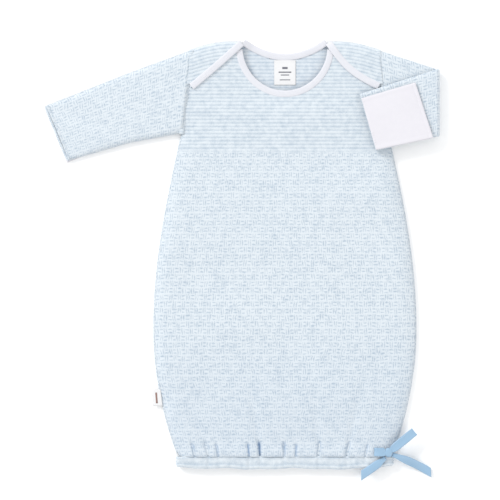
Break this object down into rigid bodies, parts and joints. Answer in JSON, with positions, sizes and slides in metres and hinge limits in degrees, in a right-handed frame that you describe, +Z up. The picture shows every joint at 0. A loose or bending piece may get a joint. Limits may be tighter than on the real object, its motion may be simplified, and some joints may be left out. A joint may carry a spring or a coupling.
{
  "type": "newborn gown",
  "caption": "Newborn's knitted gown laid flat, with lapped shoulders, fold-over mitts, a gathered elastic hem and a satin bow; sleeves fold at the elbow.",
  "frame": {"origin": "on the underside of the back panel, on the centre line at half the length from neck point to hem", "axes": "+X towards the wearer's left sleeve, +Y towards the neck, +Z up out of the front"},
  "size_m": [0.4757, 0.5261, 0.0164],
  "materials": {
    "knit": "pale blue and white jacquard knit, matt",
    "white_knit": "white interlock knit, matt",
    "binding": "white bound edge, matt",
    "label": "woven satin label",
    "elastic": "braided elastic",
    "ribbon": "light blue satin, glossy"
  },
  "bodies": {
    "gown": {"front_panel": "knit", "back_panel": "knit", "side_seam_left": "knit", "side_seam_right": "knit", "shoulder_lap_left": "knit", "shoulder_lap_right": "knit", "armhole_seam_left": "knit", "armhole_seam_right": "knit", "upper_sleeve_left": "knit", "upper_sleeve_right": "knit", "hem_casing": "knit", "hem_elastic": "elastic", "front_neck_binding": "binding", "back_neck_binding": "binding", "lap_binding_left": "binding", "lap_binding_right": "binding", "bow_knot": "ribbon"},
    "forearm_left": {"lower_sleeve_left": "knit", "sleeve_edge_left": "knit"},
    "forearm_right": {"lower_sleeve_right": "knit", "sleeve_edge_right": "knit"},
    "mitt_left": {"mitt_flap_left": "white_knit", "mitt_overlock_left": "white_knit"},
    "mitt_right": {"mitt_flap_right": "white_knit", "mitt_overlock_right": "white_knit"},
    "neck_label": {"neck_label": "label"},
    "side_tab": {"side_tab": "label"},
    "loop_left": {"bow_loop_left": "ribbon"},
    "loop_right": {"bow_loop_right": "ribbon"},
    "tail_left": {"bow_tail_left": "ribbon"},
    "tail_right": {"bow_tail_right": "ribbon"}
  },
  "joints": [
    {"name": "elbow_left", "type": "hinge", "parent": "gown", "child": "forearm_left", "pos_m": [0.186, 0.182, 0.0082], "axis": [0, 1, 0], "range_deg": [0, 180]},
    {"name": "elbow_right", "type": "hinge", "parent": "gown", "child": "forearm_right", "pos_m": [-0.186, 0.177, 0.0082], "axis": [0, 1, 0], "range_deg": [0, 180]},
    {"name": "mitt_fold_left", "type": "hinge", "parent": "forearm_left", "child": "mitt_left", "pos_m": [0.0895, 0.1925, 0.01525], "axis": [0.2756, -0.9613, 0], "range_deg": [0, 180]},
    {"name": "mitt_fold_right", "type": "hinge", "parent": "forearm_right", "child": "mitt_right", "pos_m": [-0.29, 0.1775, 0.00115], "axis": [-0.3827, 0.9239, 0], "range_deg": [0, 180]},
    {"name": "label_lift", "type": "hinge", "parent": "gown", "child": "neck_label", "pos_m": [0, 0.2342, 0.0019], "axis": [-1, 0, 0], "range_deg": [0, 150]},
    {"name": "tab_lift", "type": "hinge", "parent": "gown", "child": "side_tab", "pos_m": [-0.1467, -0.1715, 0.0038], "axis": [0, 1, 0], "range_deg": [0, 120]},
    {"name": "loop_lift_left", "type": "hinge", "parent": "gown", "child": "loop_left", "pos_m": [0.1324, -0.2345, 0.015], "axis": [0.6293, -0.7771, 0], "range_deg": [0, 40]},
    {"name": "loop_lift_right", "type": "hinge", "parent": "gown", "child": "loop_right", "pos_m": [0.1191, -0.2365, 0.015], "axis": [0, 1, 0], "range_deg": [0, 40]},
    {"name": "tail_lift_left", "type": "hinge", "parent": "gown", "child": "tail_left", "pos_m": [0.1304, -0.2404, 0.0117], "axis": [-0.4321, -0.9018, 0], "range_deg": [0, 85]},
    {"name": "tail_lift_right", "type": "hinge", "parent": "gown", "child": "tail_right", "pos_m": [0.1202, -0.2442, 0.0117], "axis": [-0.5878, 0.809, 0], "range_deg": [0, 85]}
  ]
}
